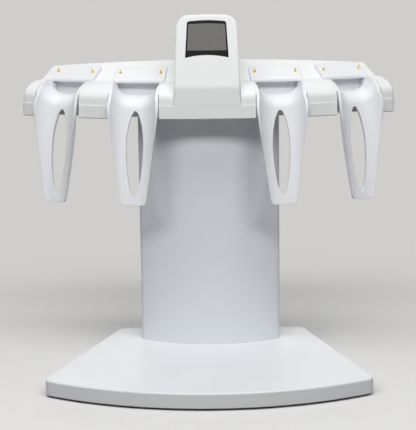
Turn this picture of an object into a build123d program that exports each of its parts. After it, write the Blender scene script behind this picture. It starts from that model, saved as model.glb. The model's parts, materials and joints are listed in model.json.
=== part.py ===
"""Charging stand for four electronic pipettes.

A weighted base plate carries a wide bowed column. The column carries an arc-shaped head with a
display in the middle and four hangers. Behind each hanger a rail holds two sprung gold contact
pins. Millimetres, +Z up, the user stands on the -Y side, and the origin is the middle of the
footprint on the bench.
"""
from build123d import *
import os
from math import atan2, cos, radians, sin, sqrt

os.makedirs("parts", exist_ok=True)

# ---- base -------------------------------------------------------------------------------------
foot_height = 2.0
base_top = 14.5
base_front_width = 266.5
base_rear_width = 166.5
base_depth = 194.0
base_bow = 38.0  # how far the front edge bulges past its two corners
base_corner_radius = 8.0
base_wall = 3.0
floor_thickness = 1.5
base_rear_y = 95.02
base_front_y = base_rear_y - base_depth
base_front_corner_y = base_front_y + base_bow

# ---- column -----------------------------------------------------------------------------------
column_width = 122.0
column_bow = 20.0
column_front_y = 37.62
column_rear_y = 66.52
column_corner_radius = 6.0
column_wall = 2.5

# ---- head: plan is an arc about a vertical axis behind the stand -------------------------------
head_radius = 303.0
head_front_y = 17.92
head_axis_y = head_front_y + head_radius
head_end_angle = 32.35
head_rear_y = 73.92  # rear wall, at the middle
head_rear_corner_depth = 46.5  # rear wall, at the two ends
head_bottom = 214.0
parting_z = 225.0  # tray below, cover above
head_wall = 2.5
saddle_top = 243.7
saddle_draft = 0.4  # the nose leans back by this much up to nose_z
nose_z = 229.2
nose_radius = 11.0
nose_turn = 50.0  # degrees of the nose before the flatter brow takes over
brow_radius = 26.0
slope_foot_depth = 25.5
slope_foot_radius = 8.0
slope_rise = 0.672  # rise per millimetre of the slope behind the saddles
head_corner_radius = 4.0

# ---- four hanger bays: place on the head's arc, and the way each one faces ---------------------
inner_bay_angle = 11.9
inner_bay_turn = 9.0
outer_bay_angle = 25.4
outer_bay_turn = 27.0
bay_half_width = 22.2
bay_clearance = 0.12

# ---- hanger: a trough that rolls back over its own top ------------------------------------------
hanger_half_width = bay_half_width - bay_clearance
crest_depth = 21.6
crest_z = 231.3
crest_radius = 12.0
tongue_lean = 10.7  # degrees, foot of the tongue forward
tongue_bottom_z = 141.2
trough_half_width = 20.3
trough_floor_half_width = 3.0
trough_depth = 14.2
shell_thickness = 2.4
seat_bottom = parting_z
seat_floor = 228.0
seat_top = 242.0
cheek_top = 243.6
cheek_height = 30.0  # of the quarter ellipse that rounds each cheek's shoulder
cheek_front = 3.0  # ahead of the front arc
pocket_front_depth = 23.0
pocket_rear_depth = 31.0
pocket_half_width = 18.7
slot_top_z = 219.7
slot_waist_z = 190.2
slot_bottom_z = 148.4
slot_half_width = 7.5
seat_rear_depth = 33.0
notch_depth = 17.0

# ---- contact rails and pins ---------------------------------------------------------------------
rail_half_width = 22.0
rail_nose_depth = 25.0
rail_rear_depth = 40.0
rail_nose_radius = 2.4
rail_proud = 1.1
contact_pitch = 35.2
contact_depth = 33.0
sleeve_radius = 1.0
sleeve_length = 7.5
sleeve_chamfer = 0.2
sleeve_proud = 1.2
pin_radius = 0.6
pin_bore_radius = 0.66
pin_proud = 3.9
pin_tail = 3.4

# ---- display pod ----------------------------------------------------------------------------------
pod_bottom_width = 55.8
pod_top_width = 50.6
pod_bend_z = 240.5
pod_top = 299.7
pod_corner_radius = 10.0
pod_lean = 14.0
pod_wall = 2.4
lens_thickness = 1.5


def radial(angle, depth, z=0.0):
    """A point on the head: angle from the middle in degrees, depth behind the front arc."""
    reach = head_radius - depth
    return Vector(reach * sin(radians(angle)), head_axis_y - reach * cos(radians(angle)), z)


def bay_frame(angle, turn):
    """Bay frame at z = 0: X along the bay, -Y out of the head, origin on the front arc."""
    return Location(radial(angle, 0)) * Location((0, 0, 0), (0, 0, turn))


bays = {
    "left_outer": bay_frame(-outer_bay_angle, -outer_bay_turn),
    "left_inner": bay_frame(-inner_bay_angle, -inner_bay_turn),
    "right_inner": bay_frame(inner_bay_angle, inner_bay_turn),
    "right_outer": bay_frame(outer_bay_angle, outer_bay_turn),
}


def prism(outline, plane, amount):
    """The outline, drawn on a plane and carried along the plane's normal."""
    with BuildPart() as body:
        with BuildSketch(plane):
            add(outline)
        extrude(amount=amount)
    return body.part


def flat_part(outline, bottom, top):
    """A plate of the given outline between two heights."""
    return prism(outline, Plane.XY.offset(bottom), top - bottom)


def front_part(outline, front, rear):
    """A front view, carried through from y = front to y = rear."""
    return prism(outline, Plane.XZ.offset(-front), front - rear)


def head_ring(section):
    """A section in (y, z), turned about the head's upright axis."""
    with BuildPart() as ring:
        with BuildSketch(Plane.YZ):
            add(section)
        revolve(axis=Axis((0, head_axis_y, 0), (0, 0, 1)))
    return ring.part


def grown(outline, amount):
    """The same outline, moved outwards by amount, or inwards where it is negative."""
    with BuildSketch() as result:
        add(outline)
        offset(amount=amount, kind=Kind.INTERSECTION)
    return result.sketch


def joined(*pieces):
    """Several solids as one node."""
    return Compound(children=[solid for piece in pieces for solid in piece.solids()])


# ==== base =========================================================================================
def base_outline():
    """Sector-shaped plan: straight rear and sides, bowed front."""
    with BuildSketch() as outline:
        with BuildLine():
            rear = Line((-base_rear_width / 2, base_rear_y), (base_rear_width / 2, base_rear_y))
            right = Line(rear @ 1, (base_front_width / 2, base_front_corner_y))
            front = ThreePointArc(
                right @ 1, (0, base_front_y), (-base_front_width / 2, base_front_corner_y)
            )
            Line(front @ 1, rear @ 0)
        make_face()
        fillet(outline.vertices(), base_corner_radius)
    return outline.sketch


base_plan = base_outline()
base_cavity_plan = grown(base_plan, -base_wall)
floor_plan = grown(base_plan, -base_wall - 0.1)
weight_plan = grown(base_plan, -base_wall - 9)
base_screw_points = [(-42, 82), (42, 82), (-96, -30), (96, -30), (0, -80)]
column_bolt_points = [(-36, 54.5), (36, 54.5)]
bolt_radius = 2.0
bolt_head_radius = 3.5
bolt_head_height = 2.4
ceiling_z = base_top - base_wall

with BuildPart() as base_cover:
    add(flat_part(base_plan, foot_height, base_top))
    fillet(base_cover.edges().group_by(Axis.Z)[-1], 1.6)
    add(flat_part(base_cavity_plan, foot_height, ceiling_z), mode=Mode.SUBTRACT)
    with BuildSketch(Plane.XY.offset(foot_height + floor_thickness)):
        with Locations(*base_screw_points):
            Circle(4.5)
            Circle(1.5, mode=Mode.SUBTRACT)
    extrude(until=Until.NEXT)
    with BuildSketch(Plane.XY.offset(ceiling_z)):
        with Locations(*column_bolt_points):
            Circle(bolt_radius)
    extrude(amount=base_wall, mode=Mode.SUBTRACT)
base_cover.part.label = "base_cover"
export_step(base_cover.part, "parts/base_cover.step")

with BuildPart() as base_floor:
    add(flat_part(floor_plan, foot_height, foot_height + floor_thickness))
    with BuildSketch(Plane.XY.offset(foot_height)):
        with Locations(*base_screw_points):
            Circle(1.5)
    extrude(amount=floor_thickness, mode=Mode.SUBTRACT)
base_floor.part.label = "base_floor"
export_step(base_floor.part, "parts/base_floor.step")

with BuildPart() as base_weight:
    add(flat_part(weight_plan, foot_height + floor_thickness, ceiling_z))
    with BuildSketch(Plane.XY.offset(foot_height)):
        with Locations(*base_screw_points):
            Circle(5.5)
        with Locations(*column_bolt_points):
            Circle(bolt_head_radius + 0.5)
    extrude(amount=base_top, mode=Mode.SUBTRACT)
base_weight.part.label = "base_weight"
export_step(base_weight.part, "parts/base_weight.step")

with BuildPart() as base_feet:
    with BuildSketch():
        with Locations((-68, 82), (68, 82), (-112, -48), (112, -48)):
            Circle(7)
    extrude(amount=foot_height)
    chamfer(base_feet.faces().sort_by(Axis.Z)[:4].edges(), 0.5)
base_feet.part.label = "base_feet"
export_step(base_feet.part, "parts/base_feet.step")


def screw(shank_radius, length, head_radius, head_height):
    """A pan-head screw, head at the bottom, its seat at z = 0 and its shank up +Z."""
    with BuildPart() as body:
        with BuildSketch(Plane.XZ):
            with BuildLine():
                Polyline(
                    (0, -head_height),
                    (head_radius * 0.75, -head_height),
                    (head_radius, -head_height * 0.5),
                    (head_radius, 0),
                    (shank_radius, 0),
                    (shank_radius, length),
                    (0, length),
                    close=True,
                )
            make_face()
        revolve(axis=Axis.Z)
    return body.part


def flat_screw(shank_radius, length, head_radius):
    """A countersunk screw, the top of its head at z = 0 and its shank up +Z."""
    cone = head_radius - shank_radius
    with BuildPart() as body:
        with BuildSketch(Plane.XZ):
            with BuildLine():
                Polyline(
                    (0, 0),
                    (head_radius, 0),
                    (shank_radius, cone),
                    (shank_radius, length),
                    (0, length),
                    close=True,
                )
            make_face()
        revolve(axis=Axis.Z)
    return body.part


floor_screw = screw(1.5, 8, 2.8, 1.2)
base_screws = joined(*[Pos(x, y, foot_height) * floor_screw for x, y in base_screw_points])
base_screws.label = "base_screws"
export_step(base_screws, "parts/base_screws.step")

# ==== column =======================================================================================
spine_thickness = 3.0
spine_front_y = 58.5
spine_rear_y = spine_front_y + spine_thickness
spine_half_width = 42.0
spine_foot_y = 50.5
inlet_z = base_top + 15.0
inlet_radius = 5.0
column_inner_half = column_width / 2 - column_wall
screw_radius = 1.25
screw_head_radius = 2.6
boss_radius = 3.5
rear_screw_points = [(x, z) for x in (-34, 34) for z in (44, 184)]  # (x, z) on the column's rear
rear_screw_length = column_rear_y - spine_front_y
cable_slot_at = (0, 55.5)


def column_outline():
    """Column plan: a bowed front, rounded front corners and a flat rear."""
    half = column_width / 2
    side_y = column_front_y + column_bow
    with BuildSketch() as outline:
        with BuildLine():
            front = ThreePointArc((-half, side_y), (0, column_front_y), (half, side_y))
            right = Line(front @ 1, (half, column_rear_y))
            rear = Line(right @ 1, (-half, column_rear_y))
            Line(rear @ 1, front @ 0)
        make_face()
        fillet(outline.vertices().group_by(Axis.Y)[0], column_corner_radius)
    return outline.sketch


column_plan = column_outline()

with BuildPart() as column_front:
    add(flat_part(column_plan, base_top, head_bottom))
    add(flat_part(grown(column_plan, -column_wall), base_top, head_bottom), mode=Mode.SUBTRACT)
    with BuildSketch(Plane.XY.offset(base_top)):
        with Locations((0, column_rear_y)):
            Rectangle(2 * column_inner_half, 4 * column_wall)
    extrude(amount=head_bottom - base_top, mode=Mode.SUBTRACT)
column_front.part.label = "column_front"
export_step(column_front.part, "parts/column_front.step")

with BuildPart() as column_rear_cover:
    with BuildSketch(Plane.XY.offset(base_top)):
        with Locations((0, column_rear_y - column_wall / 2)):
            Rectangle(2 * column_inner_half, column_wall)
    extrude(amount=head_bottom - base_top)
    with BuildSketch(Plane.XZ.offset(-column_rear_y)):
        with Locations((0, inlet_z)):
            Circle(inlet_radius)
        with Locations(*rear_screw_points):
            Circle(screw_radius)
    extrude(amount=column_wall, mode=Mode.SUBTRACT)
    with BuildSketch(Plane.XZ.offset(-column_rear_y)):
        with Locations(*rear_screw_points):
            Circle(screw_head_radius)
    extrude(amount=screw_head_radius - screw_radius, taper=45, mode=Mode.SUBTRACT)
column_rear_cover.part.label = "column_rear_cover"
export_step(column_rear_cover.part, "parts/column_rear_cover.step")

with BuildPart() as column_spine:
    with BuildSketch(Plane.YZ.offset(-spine_half_width)):
        with BuildLine():
            Polyline(
                (spine_foot_y, base_top),
                (spine_rear_y, base_top),
                (spine_rear_y, head_bottom),
                (spine_foot_y, head_bottom),
                (spine_foot_y, head_bottom - spine_thickness),
                (spine_front_y, head_bottom - spine_thickness),
                (spine_front_y, base_top + spine_thickness),
                (spine_foot_y, base_top + spine_thickness),
                close=True,
            )
        make_face()
    extrude(amount=2 * spine_half_width)
    with BuildSketch(Plane.XY.offset(base_top)):
        with Locations(*column_bolt_points):
            Circle(bolt_radius)
    extrude(amount=head_bottom, mode=Mode.SUBTRACT)
    with BuildSketch(Plane.XZ.offset(-spine_front_y)):
        with Locations((0, inlet_z)):
            Rectangle(18, 16)
        with Locations((0, 80), (0, 145)):
            SlotOverall(48, 24)
        with Locations(*rear_screw_points):
            Circle(screw_radius)
    extrude(amount=-spine_thickness, mode=Mode.SUBTRACT)
    with BuildSketch(Plane.XZ.offset(-spine_rear_y)):
        with Locations(*rear_screw_points):
            Circle(boss_radius)
            Circle(screw_radius, mode=Mode.SUBTRACT)
    extrude(amount=-(column_rear_y - column_wall - spine_rear_y))
    with BuildSketch(Plane.XY.offset(head_bottom)):
        with Locations(cable_slot_at):
            SlotOverall(30, 6)
    extrude(amount=-spine_thickness, mode=Mode.SUBTRACT)
column_spine.part.label = "column_spine"
export_step(column_spine.part, "parts/column_spine.step")

base_bolt = screw(bolt_radius, base_wall + spine_thickness, bolt_head_radius, bolt_head_height)
base_bolts = joined(*[Pos(x, y, ceiling_z) * base_bolt for x, y in column_bolt_points])
base_bolts.label = "base_bolts"
export_step(base_bolts, "parts/base_bolts.step")

rear_screw = Rot(90, 0, 0) * flat_screw(screw_radius, rear_screw_length, screw_head_radius)
rear_screws = joined(*[Pos(x, column_rear_y, z) * rear_screw for x, z in rear_screw_points])
rear_screws.label = "rear_screws"
export_step(rear_screws, "parts/rear_screws.step")

with BuildPart() as power_inlet:
    with BuildSketch(Plane.XZ.offset(-column_rear_y)):
        with Locations((0, inlet_z)):
            Circle(inlet_radius)
    extrude(amount=column_wall)
    with BuildSketch(Plane.XZ.offset(column_wall - column_rear_y)):
        with Locations((0, inlet_z)):
            RectangleRounded(14, 12, 1)
    extrude(amount=11)
    with BuildSketch(Plane.XZ.offset(-column_rear_y)):
        with Locations((0, inlet_z)):
            Circle(3.2)
            Circle(1.0, mode=Mode.SUBTRACT)
    extrude(amount=10, mode=Mode.SUBTRACT)
power_inlet.part.label = "power_inlet"
export_step(power_inlet.part, "parts/power_inlet.step")

# ==== head: tray and cover =========================================================================
head_floor_z = head_bottom + head_wall
hanger_screw_points = [(-12, 21.5), (12, 21.5)]  # along the bay, behind the arc
cover_screw_spots = [(-18.4, 14), (18.4, 14), (-18.4, 44), (18.4, 44), (-30.3, 24), (30.3, 24)]
cover_screw_points = [radial(angle, depth) for angle, depth in cover_screw_spots]
board_half_width = 17.0
board_front_y = 26.0
board_rear_y = 62.0
board_z = head_floor_z + 2.5
board_thickness = 1.6
board_post_points = [(x, y) for x in (-13, 13) for y in (board_front_y + 4, board_rear_y - 4)]
display_screw_points = [(x, y) for x in (-23, 23) for y in (26, 56)]


def head_outline(corner_radius):
    """Head plan: bowed front and rear, radial ends."""
    front_right = radial(head_end_angle, 0)
    rear_right = radial(head_end_angle, head_rear_corner_depth)
    with BuildSketch() as outline:
        with BuildLine():
            front = ThreePointArc(
                (-front_right.X, front_right.Y), (0, head_front_y), (front_right.X, front_right.Y)
            )
            right = Line(front @ 1, (rear_right.X, rear_right.Y))
            rear = ThreePointArc(right @ 1, (0, head_rear_y), (-rear_right.X, rear_right.Y))
            Line(rear @ 1, front @ 0)
        make_face()
        if corner_radius > 0:
            fillet(outline.vertices(), corner_radius)
    return outline.sketch


def notched(outline):
    """The plan with the four notches in which the tongues hang."""
    with BuildSketch() as result:
        add(outline)
        for frame in bays.values():
            with Locations(frame):
                Rectangle(2 * bay_half_width, 2 * notch_depth, mode=Mode.SUBTRACT)
    return result.sketch


head_plan = head_outline(head_corner_radius)
tray_plan = notched(head_plan)
hanger_screws_at = [frame * Pos(u, depth, 0) for frame in bays.values() for u, depth in hanger_screw_points]
tray_screws_at = [*hanger_screws_at, *cover_screw_points, *display_screw_points]

with BuildPart() as head_tray:
    add(flat_part(tray_plan, head_bottom, parting_z))
    chamfer(head_tray.edges().group_by(Axis.Z)[0], 0.6)
    add(flat_part(grown(tray_plan, -head_wall), head_floor_z, parting_z), mode=Mode.SUBTRACT)
    with BuildSketch(Plane.XY.offset(head_bottom + head_wall / 2)):
        with Locations(*tray_screws_at):
            Circle(boss_radius)
    extrude(amount=parting_z - head_bottom - head_wall / 2)
    with BuildSketch(Plane.XY.offset(head_bottom + head_wall / 2)):
        with Locations(*board_post_points):
            Circle(2.5)
    extrude(amount=board_z - head_bottom - head_wall / 2)
    with BuildSketch(Plane.XY.offset(head_bottom)):
        with Locations(*tray_screws_at):
            Circle(screw_radius)
        with Locations(*column_bolt_points):
            Circle(bolt_radius)
        with Locations(cable_slot_at):
            SlotOverall(30, 6)
    extrude(amount=parting_z - head_bottom, mode=Mode.SUBTRACT)
    with BuildSketch(Plane.XY.offset(head_bottom)):
        with Locations(*tray_screws_at):
            Circle(screw_head_radius)
    extrude(amount=screw_head_radius - screw_radius, taper=45, mode=Mode.SUBTRACT)
head_tray.part.label = "head_tray"
export_step(head_tray.part, "parts/head_tray.step")


def saddle_profile(inset):
    """Radial section of the cover at x = 0, in (y, z): nose, saddle, slope to the ridge."""
    foot_y = head_front_y + slope_foot_depth + inset * 0.3
    back_y = head_front_y + 62
    top = saddle_top - inset
    with BuildSketch() as section:
        with BuildLine():
            front = Line((head_front_y + inset, parting_z - 2), (head_front_y + saddle_draft + inset, nose_z))
            nose = JernArc(front @ 1, (0, 1), nose_radius - inset, -nose_turn)
            brow = JernArc(nose @ 1, nose % 1, brow_radius - inset, nose_turn - 90)
            crown = Line(brow @ 1, (foot_y, top))
            Polyline(crown @ 1, (back_y, top + (back_y - foot_y) * slope_rise), (back_y, parting_z - 2), front @ 0)
        make_face()
        foot = section.vertices().sort_by(lambda v: abs(v.X - foot_y) + abs(v.Y - top))[0]
        fillet(foot, slope_foot_radius + inset)
    return section.sketch


def pod_outline(grow):
    """Front view of the display pod: tapered sides, arched top with rounded corners."""
    bottom = pod_bottom_width / 2 + grow
    top = pod_top_width / 2 + grow
    with BuildSketch() as outline:
        with BuildLine():
            arch = ThreePointArc((-top, pod_top + grow - 1.4), (0, pod_top + grow), (top, pod_top + grow - 1.4))
            right = Line(arch @ 1, (bottom, parting_z))
            base = Line(right @ 1, (-bottom, parting_z))
            Line(base @ 1, arch @ 0)
        make_face()
        fillet(outline.vertices().group_by(Axis.Y)[-1], pod_corner_radius + grow)
    return outline.sketch


def bay_block(half_width, front_depth, rear_depth, bottom, top):
    """A block in every bay, between two depths behind the front arc."""
    with BuildPart() as blocks:
        with BuildSketch(Plane.XY.offset(bottom)):
            for frame in bays.values():
                with Locations(frame * Pos(0, (front_depth + rear_depth) / 2, 0)):
                    Rectangle(2 * half_width, rear_depth - front_depth)
        extrude(amount=top - bottom)
    return blocks.part


pod_rear_depth = 46.5
pod_clearance = 0.15
cover_top = 275.0
shelf_z = seat_top - board_thickness
shelf_middle = (seat_rear_depth + rail_rear_depth) / 2
rail_screw_radius = 1.0
rail_screws_at = [frame * Pos(u, shelf_middle, 0) for frame in bays.values() for u in (-10, 10)]

pod_room = front_part(pod_outline(pod_clearance), 0, head_front_y + pod_rear_depth + pod_clearance)
pod_frame = front_part(
    pod_outline(pod_clearance + head_wall), 0, head_front_y + pod_rear_depth + head_wall
)

with BuildPart() as cover_hollow:
    add(flat_part(grown(head_plan, -0.5 - head_wall), parting_z, cover_top))
    add(head_ring(saddle_profile(0.5 + head_wall)), mode=Mode.INTERSECT)
    add(bay_block(bay_half_width + head_wall, -20, rail_rear_depth + head_wall, parting_z, cover_top),
        mode=Mode.SUBTRACT)
    add(pod_frame, mode=Mode.SUBTRACT)
    with BuildSketch(Plane.XY.offset(parting_z)):
        with Locations(*cover_screw_points):
            Circle(boss_radius)
    extrude(amount=40, mode=Mode.SUBTRACT)

def on_cover_rim(edge):
    """True for the upright corners and the top edges of both ends and the rear."""
    level_ring = edge.bounding_box().size.Z < 0.01 and edge.length > 30
    return edge.center().Z > parting_z + 0.1 and not level_ring


with BuildPart() as head_cover:
    add(flat_part(grown(head_outline(0), -0.5), parting_z, cover_top))
    add(head_ring(saddle_profile(0.5)), mode=Mode.INTERSECT)
    fillet(head_cover.edges().filter_by(on_cover_rim), head_corner_radius - 0.5)
    add(cover_hollow.part, mode=Mode.SUBTRACT)
    add(pod_room, mode=Mode.SUBTRACT)
    add(bay_block(bay_half_width, -20, seat_rear_depth + bay_clearance, parting_z, cover_top),
        mode=Mode.SUBTRACT)
    add(bay_block(rail_half_width + 0.1, seat_rear_depth, rail_rear_depth + 0.1, shelf_z, cover_top),
        mode=Mode.SUBTRACT)
    add(bay_block(bay_half_width, seat_rear_depth + 1.8, rail_rear_depth, parting_z, shelf_z - head_wall),
        mode=Mode.SUBTRACT)
    with BuildSketch(Plane.XY.offset(shelf_z - head_wall)):
        with Locations(*[frame * Pos(0, shelf_middle, 0) for frame in bays.values()]):
            Rectangle(8, 4)
        with Locations(*rail_screws_at):
            Circle(rail_screw_radius)
    extrude(amount=head_wall, mode=Mode.SUBTRACT)
    with BuildSketch(Plane.XY.offset(parting_z)):
        with Locations(*cover_screw_points):
            Circle(screw_radius)
    extrude(amount=9, mode=Mode.SUBTRACT)
head_cover.part.label = "head_cover"
export_step(head_cover.part, "parts/head_cover.step")

cover_screw = flat_screw(screw_radius, parting_z - head_bottom + 9, screw_head_radius)
cover_screws = joined(*[Pos(p.X, p.Y, head_bottom) * cover_screw for p in cover_screw_points])
cover_screws.label = "cover_screws"
export_step(cover_screws, "parts/cover_screws.step")

head_bolt = Rot(180, 0, 0) * screw(bolt_radius, head_wall + spine_thickness, bolt_head_radius, bolt_head_height)
head_bolts = joined(*[Pos(x, y, head_floor_z) * head_bolt for x, y in column_bolt_points])
head_bolts.label = "head_bolts"
export_step(head_bolts, "parts/head_bolts.step")

with BuildPart() as main_board:
    with BuildSketch(Plane.XY.offset(board_z)):
        with Locations((0, (board_front_y + board_rear_y) / 2)):
            Rectangle(2 * board_half_width, board_rear_y - board_front_y)
    extrude(amount=board_thickness)
    with BuildSketch(Plane.XY.offset(board_z + board_thickness)):
        with Locations((0, 44)):
            Rectangle(12, 12)
        with Locations((-14, 50), (14, 50)):
            Rectangle(6, 9)
    extrude(amount=1.4)
main_board.part.label = "main_board"
export_step(main_board.part, "parts/main_board.step")

# ==== hangers ========================================================================================
side_plane = Plane(origin=(0, 0, 0), x_dir=(0, -1, 0), z_dir=(-1, 0, 0))  # x = out of the head, y = up
roll = Vector(0, -1, 1).normalized()  # the way the trough's sides rise from its floor
seat_screw_depth = crest_z - seat_bottom - 1.0
lean = radians(tongue_lean)
arc_start = (-crest_depth + crest_radius * cos(lean), crest_z - crest_radius + crest_radius * sin(lean))
tongue_run = (arc_start[1] - tongue_bottom_z + 8) / cos(lean)
foot_point = (arc_start[0] + tongue_run * sin(lean), arc_start[1] - tongue_run * cos(lean))


def u_section(semi_width, depth, headroom):
    """A U standing on y = 0: a narrow floor, two quarter ellipses and straight sides."""
    corner_width = semi_width - trough_floor_half_width
    with BuildSketch() as section:
        with BuildLine():
            side = Line((semi_width, depth + headroom), (semi_width, depth))
            corner = EllipticalCenterArc(
                (trough_floor_half_width, depth), corner_width, depth, start_angle=270, arc_size=90
            )
            Line(corner @ 0, (0, 0))
            Line((0, depth + headroom), side @ 0)
            mirror(about=Plane.YZ)
        make_face()
    return section.sketch


def trough(semi_width, depth, sink, headroom, reach):
    """The U section carried up the tongue and back over the crest, always parallel to itself.

    The section leans at 45 degrees: it rises out of the tongue's face and out of the crest alike.
    """

    def section_at(out, height):
        start = Vector(0, -out, height) - roll * sink
        with BuildSketch(Plane(origin=start, x_dir=(1, 0, 0), z_dir=(0, -1, -1))) as section:
            add(u_section(semi_width, depth, headroom))
        return section.sketch

    foot = section_at(*foot_point)
    stations = [radians(tongue_lean + (90 - tongue_lean) * step / 8) for step in range(9)]
    rolls = [
        section_at(-crest_depth + crest_radius * cos(angle), crest_z - crest_radius + crest_radius * sin(angle))
        for angle in stations
    ]
    with BuildPart() as body:
        extrude(foot, amount=tongue_run, dir=(0, sin(lean), cos(lean)))
        loft(rolls)
        extrude(rolls[-1], amount=reach - crest_depth, dir=(0, 1, 0))
        split(bisect_by=Plane.XZ.offset(-pocket_rear_depth), keep=Keep.TOP)
    return body.part


def cheek_profile():
    """Side view of a hanger: the cheeks follow the saddles' brow, then drop beside the tongue."""
    with BuildSketch() as section:
        with BuildLine():
            shoulder = EllipticalCenterArc(
                (-crest_depth, cheek_top - cheek_height), cheek_front + crest_depth, cheek_height, arc_size=90
            )
            Polyline(
                shoulder @ 1,
                (-rail_nose_depth + bay_clearance, cheek_top),
                (-rail_nose_depth + bay_clearance, seat_top),
                (-seat_rear_depth, seat_top),
                (-seat_rear_depth, tongue_bottom_z - 5),
                (cheek_front + 4.5, tongue_bottom_z - 5),
                shoulder @ 0,
            )
        make_face()
    return section.sketch


def hanger_outline():
    """Front view of a hanger: straight shoulders, a long taper and a rounded foot."""
    half = hanger_half_width
    with BuildSketch() as outline:
        with BuildLine():
            top = Line((0, seat_top + 4), (half, seat_top + 4))
            shoulder = Line(top @ 1, (half, 226))
            upper = Spline(shoulder @ 1, (20.4, 211), tangents=((0, -1), (-0.14, -1)))
            side = ThreePointArc(upper @ 1, (16.1, 181), (10.6, tongue_bottom_z + 0.8))
            ThreePointArc(side @ 1, (6, tongue_bottom_z + 0.25), (0, tongue_bottom_z))
            mirror(about=Plane.YZ)
        make_face()
        fillet(outline.vertices().filter_by(lambda v: abs(v.X) > 5).group_by(Axis.Y)[0], 4.0)
    return outline.sketch


def slot_outline():
    """Front view of the slot: a blunt arch above, a long taper to a narrow round end below."""
    with BuildSketch() as outline:
        with BuildLine():
            arch = Bezier(
                (0, slot_top_z),
                (slot_half_width * 0.47, slot_top_z),
                (slot_half_width, slot_top_z - 15.5),
                (slot_half_width, slot_waist_z),
            )
            Bezier(arch @ 1, (slot_half_width, slot_waist_z - 20), (3.6, slot_bottom_z), (0, slot_bottom_z))
            mirror(about=Plane.YZ)
        make_face()
    return outline.sketch


def make_hanger():
    """One hanger in its bay frame: trough, seat, hook pocket and slot."""
    wall_scale = shell_thickness / 0.78
    with BuildPart() as hanger:
        add(trough(trough_half_width + shell_thickness, trough_depth * sqrt(2) + wall_scale,
                   wall_scale, 0.5, pocket_rear_depth))
        with BuildSketch(Plane.XY.offset(seat_bottom)):
            with Locations((0, (seat_rear_depth + 4) / 2)):
                Rectangle(2 * hanger_half_width, seat_rear_depth - 4)
        extrude(amount=cheek_top + 1 - seat_bottom)
        add(trough(trough_half_width, trough_depth * sqrt(2), 0, 40, pocket_rear_depth + 40), mode=Mode.SUBTRACT)
        with BuildSketch(side_plane.offset(-pocket_half_width)) as pocket:
            with Locations((-(pocket_front_depth + pocket_rear_depth) / 2, seat_floor + 15)):
                Rectangle(pocket_rear_depth - pocket_front_depth, 30)
            feet = pocket.vertices().group_by(Axis.Y)[0].sort_by(Axis.X)
            fillet(feet[0], 5)
            fillet(feet[-1], 1.5)
        extrude(amount=2 * pocket_half_width, mode=Mode.SUBTRACT)
        add(front_part(hanger_outline(), -40, seat_rear_depth), mode=Mode.INTERSECT)
        add(prism(cheek_profile(), side_plane.offset(-hanger_half_width), 2 * hanger_half_width),
            mode=Mode.INTERSECT)
        add(front_part(slot_outline(), -40, 60), mode=Mode.SUBTRACT)
        with BuildSketch(Plane.XY.offset(seat_bottom)):
            with Locations(*hanger_screw_points):
                Circle(screw_radius)
        extrude(amount=seat_screw_depth, mode=Mode.SUBTRACT)
    return hanger.part


hanger_form = make_hanger()
for place, frame in bays.items():
    hanger = hanger_form.moved(frame)
    hanger.label = f"hanger_{place}"
    export_step(hanger, f"parts/hanger_{place}.step")

hanger_screw = flat_screw(screw_radius, parting_z - head_bottom + seat_screw_depth, screw_head_radius)
hanger_screws = joined(*[spot * Pos(0, 0, head_bottom) * hanger_screw for spot in hanger_screws_at])
hanger_screws.label = "hanger_screws"
export_step(hanger_screws, "parts/hanger_screws.step")

# ==== contact rails ===================================================================================
slope_angle = atan2(slope_rise, 1)
rail_face_z = saddle_top + (contact_depth - slope_foot_depth) * slope_rise + rail_proud / cos(slope_angle)
contact_planes = [
    Plane(
        origin=(x, contact_depth, rail_face_z),
        x_dir=(1, 0, 0),
        z_dir=(0, -sin(slope_angle), cos(slope_angle)),
    )
    for x in (-contact_pitch / 2, contact_pitch / 2)
]


def make_rail():
    """Bull-nosed bar whose sloping face carries the two contacts."""
    face_at_nose = rail_face_z - (contact_depth - rail_nose_depth) * slope_rise
    face_at_rear = rail_face_z + (rail_rear_depth - contact_depth) * slope_rise
    with BuildPart() as rail:
        with BuildSketch(side_plane.offset(-rail_half_width)) as section:
            with BuildLine():
                Polyline(
                    (-rail_nose_depth, seat_top),
                    (-rail_nose_depth, face_at_nose),
                    (-rail_rear_depth, face_at_rear),
                    (-rail_rear_depth, seat_top),
                    close=True,
                )
            make_face()
            nose = section.vertices().group_by(Axis.X)[-1].sort_by(Axis.Y)[-1]
            fillet(nose, rail_nose_radius)
        extrude(amount=2 * rail_half_width)
        for plane in contact_planes:
            with BuildSketch(plane):
                Circle(sleeve_radius)
            extrude(amount=-(sleeve_length - sleeve_proud), mode=Mode.SUBTRACT)
        with BuildSketch(Plane.XY.offset(seat_top)):
            with Locations((-10, shelf_middle), (10, shelf_middle)):
                Circle(rail_screw_radius)
        extrude(amount=4, mode=Mode.SUBTRACT)
    return rail.part


def make_sleeve():
    """Fixed barrel of one contact, open at the top, its axis up +Z and the rail face at z = 0."""
    low = sleeve_proud - sleeve_length
    with BuildPart() as sleeve:
        with BuildSketch(Plane.XZ) as section:
            with BuildLine():
                Polyline(
                    (0, low),
                    (sleeve_radius, low),
                    (sleeve_radius, sleeve_proud),
                    (pin_bore_radius, sleeve_proud),
                    (pin_bore_radius, low + 0.6),
                    (0, low + 0.6),
                    close=True,
                )
            make_face()
            chamfer(section.vertices().sort_by(Axis.Y)[-2:].sort_by(Axis.X)[-1], sleeve_chamfer)
        revolve(axis=Axis.Z)
    return sleeve.part


def make_pin():
    """Round-nosed plunger that slides in the sleeve."""
    shoulder = pin_proud - pin_radius
    with BuildPart() as pin:
        with BuildSketch(Plane.XZ):
            with BuildLine():
                base = Polyline((0, shoulder), (0, -pin_tail), (pin_radius, -pin_tail), (pin_radius, shoulder))
                CenterArc((0, shoulder), pin_radius, 0, 90)
                Line((0, pin_proud), base @ 0)
            make_face()
        revolve(axis=Axis.Z)
    return pin.part


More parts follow.
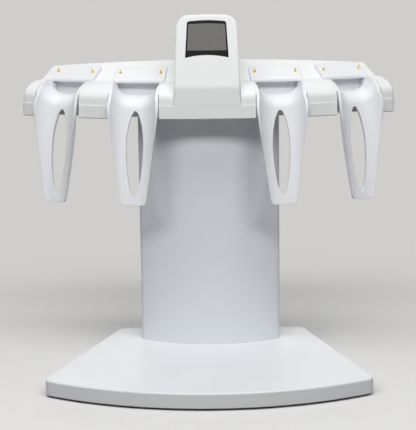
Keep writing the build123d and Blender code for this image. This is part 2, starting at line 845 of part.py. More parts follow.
with BuildPart() as board_form:
    with BuildSketch(Plane.XY.offset(seat_top - board_thickness)):
        with Locations((0, shelf_middle)):
            Rectangle(40, rail_rear_depth - seat_rear_depth - 0.2)
        with Locations((-10, shelf_middle), (10, shelf_middle)):
            Circle(rail_screw_radius, mode=Mode.SUBTRACT)
    extrude(amount=board_thickness)

rail_form = make_rail()
sleeve_form = make_sleeve()
pin_form = make_pin()
for place, frame in bays.items():
    rail = rail_form.moved(frame)
    rail.label = f"contact_rail_{place}"
    export_step(rail, f"parts/contact_rail_{place}.step")

    board = board_form.part.moved(frame)
    board.label = f"contact_board_{place}"
    export_step(board, f"parts/contact_board_{place}.step")

    sleeves = joined(*[frame * plane.location * sleeve_form for plane in contact_planes])
    sleeves.label = f"contact_sleeves_{place}"
    export_step(sleeves, f"parts/contact_sleeves_{place}.step")

    for side, plane in zip(("a", "b"), contact_planes):
        pin = pin_form.moved(frame * plane.location)
        pin.label = f"contact_pin_{place}_{side}"
        export_step(pin, f"parts/contact_pin_{place}_{side}.step")

rail_screw = screw(rail_screw_radius, head_wall + board_thickness + 4, 1.6, 1.2)
rail_screws = joined(*[spot * Pos(0, 0, shelf_z - head_wall) * rail_screw for spot in rail_screws_at])
rail_screws.label = "rail_screws"
export_step(rail_screws, "parts/rail_screws.step")

# ==== display pod ======================================================================================
lens_bottom_z = 264.6
lens_top_z = 295.2
lcd_width = 31.0
lcd_height = 24.0
lcd_depth = 2.9  # from the pod's face to the front of the screen
lcd_thickness = 2.2
face_lean = radians(pod_lean)
lcd_middle_z = 281.5
face_plane = Plane(
    origin=(0, head_front_y + (lcd_middle_z - pod_bend_z) * sin(face_lean) / cos(face_lean), lcd_middle_z),
    x_dir=(1, 0, 0),
    z_dir=(0, -cos(face_lean), sin(face_lean)),
)
board_peg_points = [(x, y) for x in (-20, 20) for y in (-11, 11)]


def pod_profile(inset):
    """Side view of the pod at x = 0, in (y, z): upright foot, leaning face, sloping back."""
    lean_run = (pod_top - pod_bend_z) * sin(radians(pod_lean)) / cos(radians(pod_lean))
    with BuildSketch() as section:
        with BuildLine():
            Polyline(
                (head_front_y, parting_z - 1),
                (head_front_y, pod_bend_z),
                (head_front_y + lean_run, pod_top),
                (head_front_y + lean_run + 9, pod_top),
                (head_front_y + pod_rear_depth, 263),
                (head_front_y + pod_rear_depth, parting_z - 1),
                close=True,
            )
        make_face()
        bend = section.vertices().sort_by(lambda v: abs(v.X - head_front_y) + abs(v.Y - pod_bend_z))[0]
        fillet(bend, 14)
        if inset > 0:
            offset(amount=-inset, kind=Kind.INTERSECTION)
    return section.sketch


def pod_body(inset, outline_inset):
    """The pod's solid form, or the same form moved inwards."""
    with BuildPart() as body:
        add(head_ring(pod_profile(inset)))
        add(front_part(pod_outline(-outline_inset), 0, head_front_y + pod_rear_depth - inset),
            mode=Mode.INTERSECT)
    return body.part


def lens_outline(inset):
    """Front view of the window: narrower at the top, both ends arched."""
    low = 18.1 - inset
    high = 16.3 - inset
    with BuildSketch() as outline:
        with BuildLine():
            foot = ThreePointArc(
                (-low, lens_bottom_z + inset), (0, lens_bottom_z + 2.2 + inset), (low, lens_bottom_z + inset)
            )
            right = Line(foot @ 1, (high, lens_top_z - 1 - inset))
            top = ThreePointArc(
                right @ 1, (0, lens_top_z - inset), (-high, lens_top_z - 1 - inset)
            )
            Line(top @ 1, foot @ 0)
        make_face()
        fillet(outline.vertices().group_by(Axis.Y)[-1], 2.2)
    return outline.sketch


lens_reach_y = head_front_y + 30

with BuildPart() as lens_skin:
    add(pod_body(0, 0))
    add(pod_body(lens_thickness, -5), mode=Mode.SUBTRACT)
    add(front_part(lens_outline(0), 0, lens_reach_y), mode=Mode.INTERSECT)
display_lens = lens_skin.solids().sort_by(Axis.Y)[0]
display_lens.label = "display_lens"
export_step(display_lens, "parts/display_lens.step")

pod_rear_panel = front_part(Pos(0, 281) * Rectangle(38, 26), head_front_y + 19, 90)
pod_floor = front_part(Pos(0, parting_z) * Rectangle(pod_bottom_width - 2 * pod_wall, 10),
                       head_front_y + 2.5, head_front_y + pod_rear_depth - pod_wall)

with BuildPart() as pod_shell:
    add(pod_body(0, 0))
    add(pod_body(pod_wall, pod_wall), mode=Mode.SUBTRACT)
    add(pod_floor, mode=Mode.SUBTRACT)

with BuildPart() as display_housing:
    add(pod_shell.part)
    with BuildSketch(Plane.XY.offset(parting_z)):
        with Locations(*display_screw_points):
            Circle(boss_radius)
    extrude(amount=12)
    with BuildSketch(Plane.XY.offset(parting_z)):
        with Locations(*display_screw_points):
            Circle(screw_radius)
    extrude(amount=9, mode=Mode.SUBTRACT)
    with BuildSketch(face_plane.offset(-pod_wall + 0.8)):
        with Locations(*board_peg_points):
            Circle(2)
    extrude(amount=-(lcd_depth + lcd_thickness - pod_wall + 0.8))
    add(display_lens, mode=Mode.SUBTRACT)
    add(front_part(lens_outline(1.6), 0, lens_reach_y), mode=Mode.SUBTRACT)
    add(pod_rear_panel, mode=Mode.SUBTRACT)
display_housing.part.label = "display_housing"
export_step(display_housing.part, "parts/display_housing.step")

with BuildPart() as display_back:
    add(pod_shell.part)
    add(pod_rear_panel, mode=Mode.INTERSECT)
display_back.part.label = "display_back"
export_step(display_back.part, "parts/display_back.step")

with BuildPart() as lcd_module:
    with BuildSketch(face_plane.offset(-lcd_depth)):
        Rectangle(lcd_width, lcd_height)
    extrude(amount=-lcd_thickness)
lcd_module.part.label = "lcd_module"
export_step(lcd_module.part, "parts/lcd_module.step")

with BuildPart() as display_board:
    with BuildSketch(face_plane.offset(-lcd_depth - lcd_thickness)):
        RectangleRounded(42, 27, 3)
    extrude(amount=-board_thickness)
display_board.part.label = "display_board"
export_step(display_board.part, "parts/display_board.step")

display_screw = flat_screw(screw_radius, parting_z - head_bottom + 9, screw_head_radius)
display_screws = joined(*[Pos(x, y, head_bottom) * display_screw for x, y in display_screw_points])
display_screws.label = "display_screws"
export_step(display_screws, "parts/display_screws.step")
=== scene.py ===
# %% [markdown]
# # A charging stand for four electronic pipettes
#
# The stand is a family of white mouldings on a silver-grey column. Nearly all of what the eye
# reads is form under soft light: one plastic, many curves. So the lesson is about three things:
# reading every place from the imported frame, giving one plastic a believable skin, and lighting
# white on pale so that the edges still show.

# %% The frame
import bmesh
import bpy
import json
import math
from mathutils import Euler, Matrix, Vector


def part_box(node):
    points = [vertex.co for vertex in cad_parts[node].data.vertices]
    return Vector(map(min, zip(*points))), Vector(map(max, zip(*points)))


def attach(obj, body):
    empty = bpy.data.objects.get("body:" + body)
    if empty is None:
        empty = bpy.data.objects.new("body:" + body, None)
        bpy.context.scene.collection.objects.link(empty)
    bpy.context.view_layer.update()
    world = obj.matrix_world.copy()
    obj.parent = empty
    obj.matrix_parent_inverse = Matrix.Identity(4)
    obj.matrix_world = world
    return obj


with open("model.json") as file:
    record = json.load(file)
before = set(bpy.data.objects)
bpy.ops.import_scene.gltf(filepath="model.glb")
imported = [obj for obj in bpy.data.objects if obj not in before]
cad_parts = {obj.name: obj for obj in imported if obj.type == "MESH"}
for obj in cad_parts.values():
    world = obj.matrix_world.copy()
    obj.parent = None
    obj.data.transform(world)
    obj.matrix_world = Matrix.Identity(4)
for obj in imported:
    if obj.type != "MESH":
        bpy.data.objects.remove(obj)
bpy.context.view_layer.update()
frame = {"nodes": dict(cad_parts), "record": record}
nodes = frame["nodes"]

# %% [markdown]
# ## The camera
#
# The camera stands well back and has a long lens, so that the four hangers keep their
# shape. The camera is placed by its own measures in millimetres: how far in front of the stand it
# is, how high, and how far it looks down. The picture is a little taller than wide, so the lens is
# worked out from the field of view over its height.

# %% Camera
MM = 0.001
camera_place = Vector((19.5, -1099.0, 341.6)) * MM
look_down = math.radians(10.57)
look_aside = math.radians(1.03)
camera_roll = math.radians(-0.73)
field_of_view = math.radians(18.12)

camera_data = bpy.data.cameras.new("camera")
camera_data.sensor_width = 36.0
camera_data.lens = camera_data.sensor_width / 2 / math.tan(field_of_view / 2)
camera = bpy.data.objects.new("camera", camera_data)
bpy.context.scene.collection.objects.link(camera)
turn = Euler((math.pi / 2 - look_down, 0, look_aside)).to_matrix().to_4x4()
roll = Matrix.Rotation(camera_roll, 4, "Z")
camera.matrix_world = Matrix.Translation(camera_place) @ turn @ roll
camera_data.clip_end = 60
bpy.context.scene.camera = camera
print("lens", round(camera_data.lens, 1), "mm")

# %% [markdown]
# ## Colour and nodes
#
# Colours are written as a maker's colour card gives them, in sRGB hex, and one function turns them
# to the linear values that the renderer adds up. A second small function adds a node, sets it and
# links it, so that a material reads as a list of steps.


# %% Helpers for materials
def linear(code, alpha=1.0):
    """An sRGB hex colour as linear RGBA."""
    channels = [int(code[i : i + 2], 16) / 255 for i in (1, 3, 5)]
    light = [c / 12.92 if c <= 0.04045 else ((c + 0.055) / 1.055) ** 2.4 for c in channels]
    return (*light, alpha)


def add_node(tree, kind, settings=None, links=None):
    """A new node: settings fill its properties or sockets, links join outputs to its sockets."""
    node = tree.nodes.new(kind)
    for name, value in (settings or {}).items():
        if isinstance(name, int) or name in node.inputs:
            node.inputs[name].default_value = value
        else:
            setattr(node, name, value)
    for name, output in (links or {}).items():
        tree.links.new(output, node.inputs[name])
    return node


def new_material(name, **sockets):
    """A material with one Principled shader, and its node tree."""
    material = bpy.data.materials.new(name)
    material.use_nodes = True
    shader = material.node_tree.nodes["Principled BSDF"]
    for socket, value in sockets.items():
        shader.inputs[socket.replace("_", " ")].default_value = value
    return material, material.node_tree, shader


def seen_directly(tree):
    """1 for rays from the camera, by reflection or through glass, and 0 for light that bounces."""
    ray = add_node(tree, "ShaderNodeLightPath")
    seen = add_node(
        tree, "ShaderNodeMath", {"operation": "MAXIMUM"},
        {0: ray.outputs["Is Camera Ray"], 1: ray.outputs["Is Glossy Ray"]},
    )
    seen_through = add_node(
        tree, "ShaderNodeMath", {"operation": "MAXIMUM"},
        {0: seen.outputs[0], 1: ray.outputs["Is Transmission Ray"]},
    )
    return seen_through.outputs[0]


# %% [markdown]
# ## Moulded ABS
#
# The white parts are injection-moulded ABS. The mould is spark-eroded to a fine texture, so the
# skin is satin: a broad, weak highlight with no mirror in it. Close up it is a field of tiny
# bumps, drawn here about half a millimetre apart, coarser than life, so that they show at all. A
# moulding never has a knife edge: half a millimetre of radius at every corner catches a thin line
# of light, and the Bevel node shades that radius without cutting the mesh. Handling leaves faint
# clouds of gloss a few centimetres across, and the white yellows by a trace.


# %% Moulded ABS
def moulded_plastic(
    name, colour, aged, roughness, grain_mm=0.5, grain_height_mm=0.004, edge_mm=0.5
):
    """Satin ABS: soft edges, spark-eroded grain, and a slow drift in tone and gloss."""
    material, tree, shader = new_material(name, Roughness=roughness, IOR=1.5)
    place = add_node(tree, "ShaderNodeTexCoord").outputs["Object"]
    clouds = add_node(
        tree, "ShaderNodeTexNoise", {"Scale": 1 / (45 * MM), "Detail": 3.0}, {"Vector": place}
    )
    tone = add_node(
        tree, "ShaderNodeMix", {"data_type": "RGBA", 6: linear(colour), 7: linear(aged)},
        {0: clouds.outputs["Fac"]},
    )
    gloss = add_node(
        tree, "ShaderNodeMapRange", {"To Min": roughness - 0.06, "To Max": roughness + 0.06},
        {"Value": clouds.outputs["Fac"]},
    )
    grain = add_node(
        tree, "ShaderNodeTexNoise",
        {"Scale": 1 / (grain_mm * MM), "Detail": 2.0},
        {"Vector": place},
    )
    soft_edge = add_node(tree, "ShaderNodeBevel", {"samples": 6, "Radius": edge_mm * MM})
    bump = add_node(
        tree, "ShaderNodeBump", {"Strength": 0.5, "Distance": grain_height_mm * MM},
        {"Height": grain.outputs["Fac"], "Normal": soft_edge.outputs["Normal"]},
    )
    tree.links.new(tone.outputs[2], shader.inputs["Base Color"])
    tree.links.new(gloss.outputs["Result"], shader.inputs["Roughness"])
    tree.links.new(bump.outputs["Normal"], shader.inputs["Normal"])
    return material


head_colours = ("#EFF1F2", "#EBECEB")
head_roughness = 0.46
satin_white_abs = moulded_plastic("satin_white_abs", *head_colours, head_roughness)
smooth_white_abs = moulded_plastic(
    "smooth_white_abs", "#EBEDF1", "#E7E9EC", 0.44, grain_height_mm=0.002
)
base_white_abs = moulded_plastic("base_white_abs", "#E9ECEF", "#E2E4E6", 0.46, edge_mm=0.8)
print("plastics", satin_white_abs.name, smooth_white_abs.name, base_white_abs.name)

# %% [markdown]
# The display housing is the same plastic, but its front is rounded over by a few millimetres along
# the outside, while the opening for the window stays crisp. So the radius of its soft edge is
# large only outside the window's field, further out than the window's own edge can reach. This
# rounding is shading alone: the mesh keeps its sharp edge, and a mesh that is used elsewhere shows
# it sharp.

# %% Rounded front of the display housing
housing_abs = moulded_plastic("satin_white_abs_housing", *head_colours, head_roughness)
tree = housing_abs.node_tree
window_low, window_high = (Vector(corner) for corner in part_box("display_lens"))
crisp_beside = 3.0 * MM
crisp_above = 2.2 * MM
foot_below_window = 32 * MM
edge_radius, rounded_radius = 0.5 * MM, 3.0 * MM
place = add_node(tree, "ShaderNodeTexCoord").outputs["Object"]
axes = add_node(tree, "ShaderNodeSeparateXYZ", None, {"Vector": place})
across = add_node(tree, "ShaderNodeMath", {"operation": "ABSOLUTE"}, {0: axes.outputs["X"]})
beside_window = add_node(
    tree, "ShaderNodeMath",
    {"operation": "GREATER_THAN", 1: window_high.x + crisp_beside},
    {0: across.outputs[0]},
)
above_window = add_node(
    tree, "ShaderNodeMath",
    {"operation": "GREATER_THAN", 1: window_high.z + crisp_above},
    {0: axes.outputs["Z"]},
)
above_foot = add_node(
    tree, "ShaderNodeMath",
    {"operation": "GREATER_THAN", 1: window_low.z - foot_below_window},
    {0: axes.outputs["Z"]},
)
outside_window = add_node(
    tree, "ShaderNodeMath",
    {"operation": "MAXIMUM"},
    {0: beside_window.outputs[0], 1: above_window.outputs[0]},
)
outer_rim = add_node(
    tree, "ShaderNodeMath",
    {"operation": "MULTIPLY"},
    {0: outside_window.outputs[0], 1: above_foot.outputs[0]},
)
radius = add_node(
    tree, "ShaderNodeMapRange",
    {"To Min": edge_radius, "To Max": rounded_radius},
    {"Value": outer_rim.outputs[0]},
)
rounding = [node for node in tree.nodes if node.bl_idname == "ShaderNodeBevel"][0]
rounding.samples = 10
tree.links.new(radius.outputs["Result"], rounding.inputs["Radius"])
print("housing", housing_abs.name, "window", [round(v / MM, 1) for v in window_high - window_low])

# %% [markdown]
# ## Silver-grey enamel
#
# The column is sprayed with a satin silver-grey enamel and baked. Spray levels into a very shallow
# orange peel, waves 2 mm apart and a few microns high, so a highlight on it has a soft, slightly
# uneven edge. A cool pigment, with a fine mottle from the flake in it, sets it a shade apart from
# the warmer white of the mouldings.

# %% Silver-grey enamel
silver_enamel, tree, shader = new_material("silver_grey_enamel", Roughness=0.42, IOR=1.45)
place = add_node(tree, "ShaderNodeTexCoord").outputs["Object"]
flake = add_node(
    tree, "ShaderNodeTexNoise", {"Scale": 1 / (0.4 * MM), "Detail": 1.0}, {"Vector": place}
)
pigment = add_node(
    tree, "ShaderNodeMix", {"data_type": "RGBA", 6: linear("#DADDE3"), 7: linear("#E2E5EB")},
    {0: flake.outputs["Fac"]},
)
peel = add_node(
    tree, "ShaderNodeTexNoise", {"Scale": 1 / (2 * MM), "Detail": 1.0}, {"Vector": place}
)
soft_edge = add_node(tree, "ShaderNodeBevel", {"samples": 6, "Radius": 1.0 * MM})
levelled = add_node(
    tree, "ShaderNodeBump", {"Strength": 0.4, "Distance": 0.008 * MM},
    {"Height": peel.outputs["Fac"], "Normal": soft_edge.outputs["Normal"]},
)
tree.links.new(pigment.outputs[2], shader.inputs["Base Color"])
tree.links.new(levelled.outputs["Normal"], shader.inputs["Normal"])
print("column", silver_enamel.name)

# %% [markdown]
# ## Metals
#
# The contacts are brass turned on an automatic lathe and gold plated. Turning leaves fine rings
# round the pin, and plating keeps them, so the gold glints in short arcs. Screws and the column's
# spine are steel with bright zinc, which crystallises into patches of slightly different grey. The
# ballast plate is cast iron, dull and rough.

# %% Gold plate
gold_plate, tree, shader = new_material("gold_plate", Metallic=1.0, Roughness=0.24)
place = add_node(tree, "ShaderNodeTexCoord").outputs["Object"]
band_at_scale_one = 0.3
rings = add_node(
    tree, "ShaderNodeTexWave",
    {"bands_direction": "Z", "Scale": band_at_scale_one / (0.2 * MM), "Distortion": 0.4},
    {"Vector": place},
)
thin_spots = add_node(tree, "ShaderNodeTexNoise", {"Scale": 1 / (0.8 * MM)}, {"Vector": place})
plate = add_node(
    tree, "ShaderNodeMix", {"data_type": "RGBA", 6: linear("#F2D774"), 7: linear("#DDB94A")},
    {0: thin_spots.outputs["Fac"]},
)
turned = add_node(
    tree, "ShaderNodeBump",
    {"Strength": 0.3, "Distance": 0.01 * MM},
    {"Height": rings.outputs["Fac"]},
)
tree.links.new(plate.outputs[2], shader.inputs["Base Color"])
tree.links.new(turned.outputs["Normal"], shader.inputs["Normal"])
print("contacts", gold_plate.name)

# %% Zinc-plated steel and cast iron
zinc_steel, tree, shader = new_material("zinc_plated_steel", Metallic=1.0, Roughness=0.34)
place = add_node(tree, "ShaderNodeTexCoord").outputs["Object"]
spangle = add_node(tree, "ShaderNodeTexVoronoi", {"Scale": 1 / (3 * MM)}, {"Vector": place})
zinc = add_node(
    tree, "ShaderNodeMix", {"data_type": "RGBA", 6: linear("#B4B7B9"), 7: linear("#9EA2A5")},
    {0: spangle.outputs["Distance"]},
)
dulled = add_node(
    tree, "ShaderNodeMapRange",
    {"To Min": 0.28, "To Max": 0.46},
    {"Value": spangle.outputs["Distance"]},
)
tree.links.new(zinc.outputs[2], shader.inputs["Base Color"])
tree.links.new(dulled.outputs["Result"], shader.inputs["Roughness"])

cast_iron, tree, shader = new_material("cast_iron", Metallic=0.9, Roughness=0.7)
place = add_node(tree, "ShaderNodeTexCoord").outputs["Object"]
sand = add_node(
    tree, "ShaderNodeTexNoise", {"Scale": 1 / (1.2 * MM), "Detail": 4.0}, {"Vector": place}
)
skin = add_node(
    tree, "ShaderNodeMix", {"data_type": "RGBA", 6: linear("#4A4B4D"), 7: linear("#6A6A6B")},
    {0: sand.outputs["Fac"]},
)
sand_cast = add_node(
    tree, "ShaderNodeBump",
    {"Strength": 0.6, "Distance": 0.15 * MM},
    {"Height": sand.outputs["Fac"]},
)
tree.links.new(skin.outputs[2], shader.inputs["Base Color"])
tree.links.new(sand_cast.outputs["Normal"], shader.inputs["Normal"])
print("metals", zinc_steel.name, cast_iron.name)

# %% [markdown]
# ## Black parts
#
# The floor plate and the power inlet are black ABS from a coarser mould, so they look charcoal
# where light grazes them. The feet are synthetic rubber: matt, with a chalky bloom that comes to
# the surface as rubber ages.

# %% Black moulding and rubber
black_abs = moulded_plastic(
    "black_abs", "#1C1C1E", "#262628", 0.5, grain_mm=0.7, grain_height_mm=0.02
)

foot_rubber, tree, shader = new_material("foot_rubber", Roughness=0.85, IOR=1.52)
place = add_node(tree, "ShaderNodeTexCoord").outputs["Object"]
bloom = add_node(
    tree, "ShaderNodeTexNoise", {"Scale": 1 / (4 * MM), "Detail": 5.0}, {"Vector": place}
)
rubber_tone = add_node(
    tree, "ShaderNodeMix", {"data_type": "RGBA", 6: linear("#202022"), 7: linear("#3A3A3C")},
    {0: bloom.outputs["Fac"]},
)
tree.links.new(rubber_tone.outputs[2], shader.inputs["Base Color"])
print("black parts", black_abs.name, foot_rubber.name)

# %% [markdown]
# ## Circuit board
#
# Boards are glass-epoxy laminate under a green solder mask. Copper tracks lie under the mask and
# lift it a little, and show as a lighter green. A brick pattern with long cells gives such tracks.

# %% Solder mask
solder_mask, tree, shader = new_material("solder_mask", Roughness=0.35, IOR=1.5, Coat_Weight=0.4)
place = add_node(tree, "ShaderNodeTexCoord").outputs["Object"]
tracks = add_node(
    tree, "ShaderNodeTexBrick",
    {
        "Scale": 1 / (2.4 * MM), "Color1": linear("#1E5C38"), "Color2": linear("#1A5333"),
        "Mortar": linear("#2F7A4C"), "Mortar Size": 0.03, "Brick Width": 3.0, "Row Height": 0.5,
    },
    {"Vector": place},
)
tree.links.new(tracks.outputs["Color"], shader.inputs["Base Color"])
print("board", solder_mask.name)

# %% [markdown]
# ## The window and the screen
#
# The window is a plate of acrylic, printed black on its back round a clear field. The screen is
# laminated to that field, so its grey lies right behind the plate with no gap to throw a shadow.
# The screen is a reflective liquid crystal that is switched off: warm grey over a grid of cells a
# third of a millimetre apart. One mask, worked out from the plate's own height and width, parts
# the print from the field. Print and screen share the plate's own low, even gloss.

# %% Screen
liquid_crystal, tree, shader = new_material("liquid_crystal_glass", Roughness=0.3, IOR=1.5)


def add_screen_cells(tree):
    """The colour of a resting screen: a fine grid of cells, upright in the XZ plane."""
    place = add_node(tree, "ShaderNodeTexCoord").outputs["Object"]
    upright = add_node(
        tree, "ShaderNodeMapping", {"Rotation": (math.pi / 2, 0, 0)}, {"Vector": place}
    )
    cells = add_node(
        tree, "ShaderNodeTexBrick",
        {
            "offset": 0.0, "Scale": 1 / (0.33 * MM), "Brick Width": 1.0, "Row Height": 1.0,
            "Color1": linear("#7A7875"), "Color2": linear("#757370"),
            "Mortar": linear("#6B6966"), "Mortar Size": 0.06,
        },
        {"Vector": upright.outputs["Vector"]},
    )
    return cells.outputs["Color"]


tree.links.new(add_screen_cells(tree), shader.inputs["Base Color"])
print("screen", liquid_crystal.name)

# %% Window
printed_acrylic, tree, shader = new_material("back_printed_acrylic", Roughness=0.14, IOR=1.42)
field_half_foot, field_half_head = 16.6 * MM, 15.1 * MM
arch_half_width = 18 * MM
rim_at_middle, rim_at_corner = 2.4 * MM, 3.2 * MM
foot_strip = 6.0 * MM
place = add_node(tree, "ShaderNodeTexCoord").outputs["Object"]
axes = add_node(tree, "ShaderNodeSeparateXYZ", None, {"Vector": place})
across = add_node(tree, "ShaderNodeMath", {"operation": "ABSOLUTE"}, {0: axes.outputs["X"]})
half_width = add_node(
    tree, "ShaderNodeMapRange",
    {
        "From Min": window_low.z, "From Max": window_high.z,
        "To Min": field_half_foot, "To Max": field_half_head,
    },
    {"Value": axes.outputs["Z"]},
)
top_edge = add_node(
    tree, "ShaderNodeMapRange",
    {
        "From Max": arch_half_width,
        "To Min": window_high.z - rim_at_middle, "To Max": window_high.z - rim_at_corner,
    },
    {"Value": across.outputs[0]},
)
inside_sides = add_node(
    tree, "ShaderNodeMath",
    {"operation": "LESS_THAN"},
    {0: across.outputs[0], 1: half_width.outputs["Result"]},
)
above_foot = add_node(
    tree, "ShaderNodeMath",
    {"operation": "GREATER_THAN", 1: window_low.z + foot_strip},
    {0: axes.outputs["Z"]},
)
below_head = add_node(
    tree, "ShaderNodeMath",
    {"operation": "LESS_THAN"},
    {0: axes.outputs["Z"], 1: top_edge.outputs["Result"]},
)
between = add_node(
    tree, "ShaderNodeMath",
    {"operation": "MULTIPLY"},
    {0: inside_sides.outputs[0], 1: above_foot.outputs[0]},
)
clear_field = add_node(
    tree, "ShaderNodeMath",
    {"operation": "MULTIPLY"},
    {0: between.outputs[0], 1: below_head.outputs[0]},
)
print_or_screen = add_node(
    tree, "ShaderNodeMix", {"data_type": "RGBA", 6: linear("#0D0D0E")},
    {0: clear_field.outputs[0], 7: add_screen_cells(tree)},
)
tree.links.new(print_or_screen.outputs[2], shader.inputs["Base Color"])
print("print", printed_acrylic.name)

# %% [markdown]
# ## Dressing the frame
#
# Each solid of the frame names the finish that its part is specified in. A table turns those names
# into the materials above, so no part is left out. Only the two mouldings of the display are set
# after it, to the finish with the rounded front.

# %% Finishes
finishes = {
    "head_white": satin_white_abs,
    "hanger_white": smooth_white_abs,
    "base_white": base_white_abs,
    "column_silver": silver_enamel,
    "floor_plate": black_abs,
    "ballast_iron": cast_iron,
    "foot_rubber": foot_rubber,
    "spine_steel": zinc_steel,
    "screw_steel": zinc_steel,
    "circuit_board": solder_mask,
    "contact_gold": gold_plate,
    "inlet_black": black_abs,
    "display_window": printed_acrylic,
    "lcd_grey": liquid_crystal,
}
for entry in frame["record"]["subparts"]:
    mesh = nodes[entry["node"]].data
    mesh.materials.clear()
    mesh.materials.append(finishes[entry["material_slot"]])
for name in ("display_housing", "display_back"):
    nodes[name].data.materials[0] = housing_abs

# %% [markdown]
# ## The rear wall of the head's tray
#
# The head is two mouldings that meet at a level parting line: a tray below and a cover above. The
# tray's solid lacks its upright rear wall over a short stretch in the middle, which is a fault of
# the solid and not a feature. The real tray is closed there, so this piece fills the stretch: a
# curved strip of the wall's own thickness, flush with the wall on both sides and under the cover's
# edge. The corners of a small upright rectangle are set at even steps along the wall's arc and
# joined by faces, and the first and last rectangle lie along the ends of the gap.

# %% Rear wall strip
tray_mesh = nodes["head_tray"].data
tray_low, tray_high = (Vector(corner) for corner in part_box("head_tray"))
wall_thickness = 2.5 * MM
wall_middle_y = 73.92 * MM
wall_radius = 326.0 * MM
strip_bottom = tray_low.z + wall_thickness
strip_top = tray_high.z
gap_reach = 30.5 * MM
wall_from_y = 71 * MM
rim_depth = 0.1 * MM

ends = [
    v.co for v in tray_mesh.vertices
    if abs(v.co.x) < gap_reach and v.co.y > wall_from_y and v.co.z > tray_high.z - rim_depth
]
outer_end = max(ends, key=lambda point: point.y)
inner_end = min(ends, key=lambda point: point.y)
outer_half = abs(outer_end.x)
inner_half = abs(inner_end.x)
for end in (outer_end, inner_end):
    print("gap end, mm", [round(v / MM, 2) for v in end])


def wall_y(x, depth):
    """The wall's surface at x, depth further in than its outer face."""
    reach = wall_radius + depth
    return wall_middle_y + wall_radius - math.sqrt(reach * reach - x * x)


steps = 24
corners = []
for step in range(steps + 1):
    share = 2 * step / steps - 1
    for half, depth in ((outer_half, 0.0), (inner_half, wall_thickness)):
        x = half * share
        corners += [(x, wall_y(x, depth), strip_bottom), (x, wall_y(x, depth), strip_top)]
faces = [(0, 1, 3, 2), tuple(4 * steps + k for k in (0, 2, 3, 1))]
for step in range(steps):
    near, far = 4 * step, 4 * step + 4
    faces += [(near + a, far + a, far + b, near + b) for a, b in ((0, 1), (1, 3), (3, 2), (2, 0))]
strip_mesh = bpy.data.meshes.new("head_tray_rear_wall")
strip_mesh.from_pydata(corners, [], faces)
shell = bmesh.new()
shell.from_mesh(strip_mesh)
weld_distance = 0.01 * MM
bmesh.ops.remove_doubles(shell, verts=shell.verts, dist=weld_distance)
bmesh.ops.recalc_face_normals(shell, faces=shell.faces)
open_edges = sum(not edge.is_manifold for edge in shell.edges)
print("strip volume, mm3", round(shell.calc_volume(signed=True) / MM**3), "open edges", open_edges)
shell.to_mesh(strip_mesh)
shell.free()
strip_mesh.materials.append(
    moulded_plastic("satin_white_abs_flush", *head_colours, head_roughness, edge_mm=0.05)
)
head_tray_rear_wall = bpy.data.objects.new("head_tray_rear_wall", strip_mesh)
bpy.context.scene.collection.objects.link(head_tray_rear_wall)
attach(head_tray_rear_wall, "stand")
print("strip", len(corners), "corners,", len(faces), "faces")

# %% [markdown]
# ## Floor and background
#
# The stand is on a matt pale board that runs far back. A lamp near the stand leaves the far floor
# dark, which would draw a horizon behind white parts. So with distance from the stand the board
# fades, for the camera and for reflections only, into the plain pale tone of the world behind it.
# Near the stand it is an ordinary matt surface and keeps the shadow. A pale board also throws much
# light up under the head, where a dark bench would leave it in shade, so the light that bounces
# off the board is that of a dark bench.

# %% Floor
backdrop_tone = linear("#CFCECC")
floor_mesh = bpy.data.meshes.new("floor")
floor_half = 30.0
floor_corners = [
    (-floor_half, -floor_half, 0), (floor_half, -floor_half, 0),
    (floor_half, floor_half, 0), (-floor_half, floor_half, 0),
]
floor_mesh.from_pydata(floor_corners, [], [(0, 1, 2, 3)])
floor = bpy.data.objects.new("floor", floor_mesh)
bpy.context.scene.collection.objects.link(floor)

pale_board, tree, shader = new_material("pale_board", Roughness=0.8)
place = add_node(tree, "ShaderNodeTexCoord").outputs["Object"]
seen = seen_directly(tree)
fibre = add_node(
    tree, "ShaderNodeTexNoise", {"Scale": 1 / (15 * MM), "Detail": 4.0}, {"Vector": place}
)
board_tone = add_node(
    tree, "ShaderNodeMix", {"data_type": "RGBA", 6: linear("#E9E8E6"), 7: linear("#E2E1DF")},
    {0: fibre.outputs["Fac"]},
)
bench_or_board = add_node(
    tree, "ShaderNodeMix", {"data_type": "RGBA", 6: linear("#5A5957")},
    {0: seen, 7: board_tone.outputs[2]},
)
tree.links.new(bench_or_board.outputs[2], shader.inputs["Base Color"])
fade_start, fade_end = 0.2, 0.55
from_stand = add_node(tree, "ShaderNodeVectorMath", {"operation": "LENGTH"}, {0: place})
distance = add_node(
    tree, "ShaderNodeMapRange",
    {"interpolation_type": "SMOOTHSTEP", "From Min": fade_start, "From Max": fade_end},
    {"Value": from_stand.outputs["Value"]},
)
fade = add_node(
    tree, "ShaderNodeMath", {"operation": "MULTIPLY"},
    {0: distance.outputs["Result"], 1: seen},
)
haze = add_node(tree, "ShaderNodeEmission", {"Color": backdrop_tone, "Strength": 1.0})
blend = add_node(
    tree, "ShaderNodeMixShader", None,
    {0: fade.outputs[0], 1: shader.outputs["BSDF"], 2: haze.outputs["Emission"]},
)
tree.links.new(blend.outputs["Shader"], tree.nodes["Material Output"].inputs["Surface"])
floor_mesh.materials.append(pale_board)
print("floor", pale_board.name)

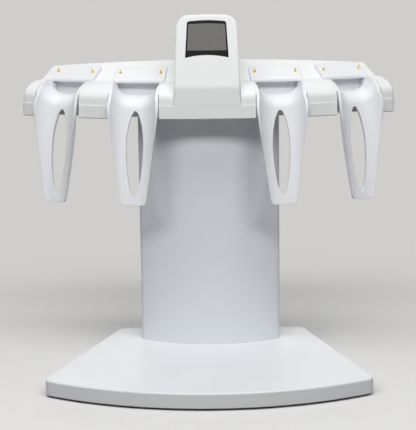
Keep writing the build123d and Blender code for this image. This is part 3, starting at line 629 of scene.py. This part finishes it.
# %% World
world = bpy.data.worlds.new("studio")
bpy.context.scene.world = world
world.use_nodes = True
tree = world.node_tree
sky = tree.nodes["Background"]
sky.inputs["Color"].default_value = linear("#F2F3F5")
sky.inputs["Strength"].default_value = 0.20
backdrop = add_node(tree, "ShaderNodeBackground", {"Color": backdrop_tone, "Strength": 1.0})
seen = seen_directly(tree)
choice = add_node(
    tree, "ShaderNodeMixShader", None,
    {0: seen, 1: sky.outputs["Background"], 2: backdrop.outputs["Background"]},
)
tree.links.new(choice.outputs["Shader"], tree.nodes["World Output"].inputs["Surface"])
bpy.context.scene.view_settings.view_transform = "Standard"
print("world", world.name)

# %% [markdown]
# ## Light
#
# A laboratory is lit from its ceiling by long rows of lamps. Light that comes steeply down makes
# every rounded shoulder bright on top and leaves the walls under it a step darker, and the head's
# overhang throws its shadow down the column. Two long soft boxes give that: one steep, one lower
# and further to the front. A third stands low behind the stand, only to show its back: so low that
# it adds almost nothing to the shoulders and nothing to the front.


# %% Lamps
def soft_box(name, rise_degrees, side, distance, size, watts, aim=(0.0, 0.02, 0.2)):
    """A rectangular soft box at a height angle in front of the aim, turned to face it."""
    data = bpy.data.lights.new(name, "AREA")
    data.shape = "RECTANGLE"
    data.size, data.size_y = size
    data.energy = watts
    rise = math.radians(rise_degrees)
    offset = Vector((side, -math.cos(rise) * distance, math.sin(rise) * distance))
    light = bpy.data.objects.new(name, data)
    light.location = Vector(aim) + offset
    light.rotation_mode = "QUATERNION"
    light.rotation_quaternion = (-offset).to_track_quat("-Z", "Y")
    bpy.context.scene.collection.objects.link(light)
    return light


ceiling_row = soft_box(
    "ceiling_row", rise_degrees=73, side=-0.05, distance=1.25, size=(1.6, 0.2), watts=5.8
)
front_row = soft_box(
    "front_row", rise_degrees=46, side=0.0, distance=1.4, size=(2.4, 0.3), watts=18
)
rear_row = soft_box(
    "rear_row", rise_degrees=165, side=0.0, distance=1.8, size=(2.4, 0.4), watts=5
)
print("lamps", ceiling_row.name, front_row.name, rear_row.name)
